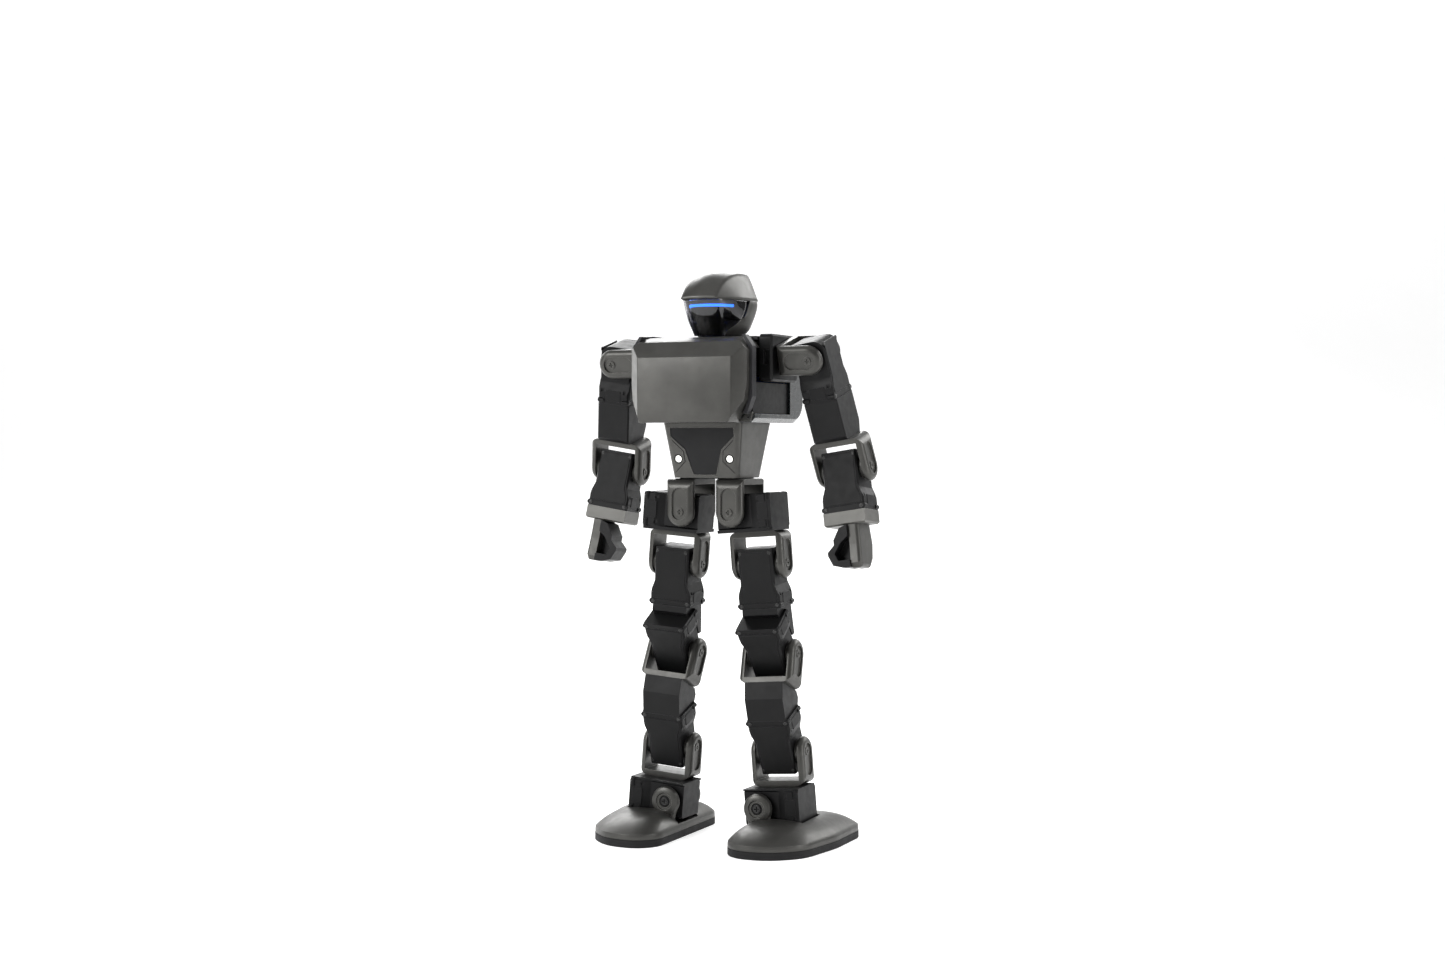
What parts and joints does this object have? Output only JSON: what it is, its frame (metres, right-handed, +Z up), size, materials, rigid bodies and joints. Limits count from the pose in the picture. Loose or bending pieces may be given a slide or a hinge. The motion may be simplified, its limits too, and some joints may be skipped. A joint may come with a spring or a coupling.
{
  "type": "walking humanoid robot",
  "caption": "Small walking humanoid robot with servo-jointed arms and legs in U-shaped brackets, a visored helmet, an armoured trunk and broad flat feet.",
  "frame": {"origin": "on the floor, midway between the two feet, at the centre of the bounding box base", "axes": "+Z up, -Y is the way the robot faces, +X is the robot's left"},
  "size_m": [0.1904, 0.1, 0.345],
  "materials": {
    "shell_gunmetal": "satin metallic paint",
    "frame_graphite": "satin",
    "bracket_gunmetal": "satin grey anodised",
    "servo_black": "fine moulded texture",
    "link_black": "satin moulded",
    "cap_metal": "satin grey",
    "back_gloss": "gloss",
    "visor_gloss": "high gloss",
    "light_blue": "lit",
    "lamp_white": "lit",
    "inlay_matte": "matte",
    "sole_rubber": "matte",
    "battery_wrap": "shrink wrap",
    "board_green": "solder mask",
    "button_red": "gloss"
  },
  "bodies": {
    "torso": {"chest_front_shell": "shell_gunmetal", "chest_side_frame": "frame_graphite", "side_panels": "link_black", "back_shell": "back_gloss", "neck_collar": "frame_graphite", "waist_shell": "shell_gunmetal", "waist_inlay": "inlay_matte", "waist_lamps": "lamp_white", "pelvis_plate": "link_black", "left_shoulder_servo": "servo_black", "right_shoulder_servo": "servo_black", "neck_servo": "servo_black", "battery_pack": "battery_wrap", "main_board": "board_green", "hip_brackets": "bracket_gunmetal"},
    "power_button": {"power_button": "button_red"},
    "head": {"helmet_shell": "shell_gunmetal", "visor": "visor_gloss", "visor_light_bar": "light_blue", "head_base": "link_black"},
    "left_shoulder": {"left_shoulder_bracket": "bracket_gunmetal"},
    "left_upper_arm": {"left_upper_arm_servo": "servo_black", "left_upper_arm_link": "link_black", "left_elbow_bracket": "bracket_gunmetal"},
    "left_forearm": {"left_forearm_servo": "servo_black", "left_wrist_cap": "cap_metal", "left_hand_fairing": "shell_gunmetal", "left_hand_grip": "link_black"},
    "left_hip": {"left_hip_servo": "servo_black", "left_thigh_bracket": "bracket_gunmetal"},
    "left_thigh": {"left_thigh_servo": "servo_black", "left_knee_link": "link_black", "left_knee_servo": "servo_black"},
    "left_shin": {"left_knee_bracket": "bracket_gunmetal", "left_shin_link": "link_black", "left_shin_servo": "servo_black"},
    "left_ankle": {"left_ankle_bracket": "bracket_gunmetal", "left_ankle_servo": "servo_black"},
    "left_foot": {"left_foot_shell": "shell_gunmetal", "left_foot_sole": "sole_rubber"},
    "right_shoulder": {"right_shoulder_bracket": "bracket_gunmetal"},
    "right_upper_arm": {"right_upper_arm_servo": "servo_black", "right_upper_arm_link": "link_black", "right_elbow_bracket": "bracket_gunmetal"},
    "right_forearm": {"right_forearm_servo": "servo_black", "right_wrist_cap": "cap_metal", "right_hand_fairing": "shell_gunmetal", "right_hand_grip": "link_black"},
    "right_hip": {"right_hip_servo": "servo_black", "right_thigh_bracket": "bracket_gunmetal"},
    "right_thigh": {"right_thigh_servo": "servo_black", "right_knee_link": "link_black", "right_knee_servo": "servo_black"},
    "right_shin": {"right_knee_bracket": "bracket_gunmetal", "right_shin_link": "link_black", "right_shin_servo": "servo_black"},
    "right_ankle": {"right_ankle_bracket": "bracket_gunmetal", "right_ankle_servo": "servo_black"},
    "right_foot": {"right_foot_shell": "shell_gunmetal", "right_foot_sole": "sole_rubber"}
  },
  "joints": [
    {"name": "head_yaw", "type": "hinge", "parent": "torso", "child": "head", "pos_m": [0, -0.0026, 0.3], "axis": [0, 0, 1], "range_deg": [-75, 75]},
    {"name": "power_button_press", "type": "slide", "parent": "torso", "child": "power_button", "axis": [0, -1, 0], "range_m": [0, 0.0012], "stiffness_N_per_m": 300},
    {"name": "left_shoulder_pitch", "type": "hinge", "parent": "torso", "child": "left_shoulder", "pos_m": [0.0648, -0.0026, 0.2928], "axis": [1, 0, 0], "range_deg": [-150, 40]},
    {"name": "left_shoulder_roll", "type": "hinge", "parent": "left_shoulder", "child": "left_upper_arm", "pos_m": [0.0648, -0.0026, 0.2928], "axis": [0, -0.9659, -0.2588], "range_deg": [-8, 85]},
    {"name": "left_elbow", "type": "hinge", "parent": "left_upper_arm", "child": "left_forearm", "pos_m": [0.07627, 0.01553, 0.22512], "axis": [-0.9869, 0.0418, -0.1561], "range_deg": [-20, 80]},
    {"name": "left_hip_roll", "type": "hinge", "parent": "torso", "child": "left_hip", "pos_m": [0.0162, -0.0062, 0.1995], "axis": [0, -1, 0], "range_deg": [-4, 18]},
    {"name": "left_hip_pitch", "type": "hinge", "parent": "left_hip", "child": "left_thigh", "pos_m": [0.02806, 0, 0.16812], "axis": [-0.997, 0, -0.0772], "range_deg": [-25, 75]},
    {"name": "left_knee", "type": "hinge", "parent": "left_thigh", "child": "left_shin", "pos_m": [0.03231, 0.0064, 0.11329], "axis": [0.997, 0, 0.0772], "range_deg": [-20, 75]},
    {"name": "left_ankle_pitch", "type": "hinge", "parent": "left_shin", "child": "left_ankle", "pos_m": [0.03686, 0.0092, 0.05446], "axis": [-0.997, 0, -0.0772], "range_deg": [-30, 30]},
    {"name": "left_ankle_roll", "type": "hinge", "parent": "left_ankle", "child": "left_foot", "pos_m": [0.03081, 0.0024, 0.0226], "axis": [0, 1, 0], "range_deg": [-12, 12]},
    {"name": "right_shoulder_pitch", "type": "hinge", "parent": "torso", "child": "right_shoulder", "pos_m": [-0.0648, -0.0026, 0.2928], "axis": [1, 0, 0], "range_deg": [-150, 40]},
    {"name": "right_shoulder_roll", "type": "hinge", "parent": "right_shoulder", "child": "right_upper_arm", "pos_m": [-0.0648, -0.0026, 0.2928], "axis": [0, 0.9659, 0.2588], "range_deg": [-8, 85]},
    {"name": "right_elbow", "type": "hinge", "parent": "right_upper_arm", "child": "right_forearm", "pos_m": [-0.07627, 0.01553, 0.22512], "axis": [-0.9869, -0.0418, 0.1561], "range_deg": [-20, 80]},
    {"name": "right_hip_roll", "type": "hinge", "parent": "torso", "child": "right_hip", "pos_m": [-0.0162, -0.0062, 0.1995], "axis": [0, 1, 0], "range_deg": [-4, 18]},
    {"name": "right_hip_pitch", "type": "hinge", "parent": "right_hip", "child": "right_thigh", "pos_m": [-0.02806, 0, 0.16812], "axis": [-0.997, 0, 0.0772], "range_deg": [-25, 75]},
    {"name": "right_knee", "type": "hinge", "parent": "right_thigh", "child": "right_shin", "pos_m": [-0.03231, 0.0064, 0.11329], "axis": [0.997, 0, -0.0772], "range_deg": [-20, 75]},
    {"name": "right_ankle_pitch", "type": "hinge", "parent": "right_shin", "child": "right_ankle", "pos_m": [-0.03686, 0.0092, 0.05446], "axis": [-0.997, 0, 0.0772], "range_deg": [-30, 30]},
    {"name": "right_ankle_roll", "type": "hinge", "parent": "right_ankle", "child": "right_foot", "pos_m": [-0.03081, 0.0024, 0.0226], "axis": [0, -1, 0], "range_deg": [-12, 12]}
  ]
}
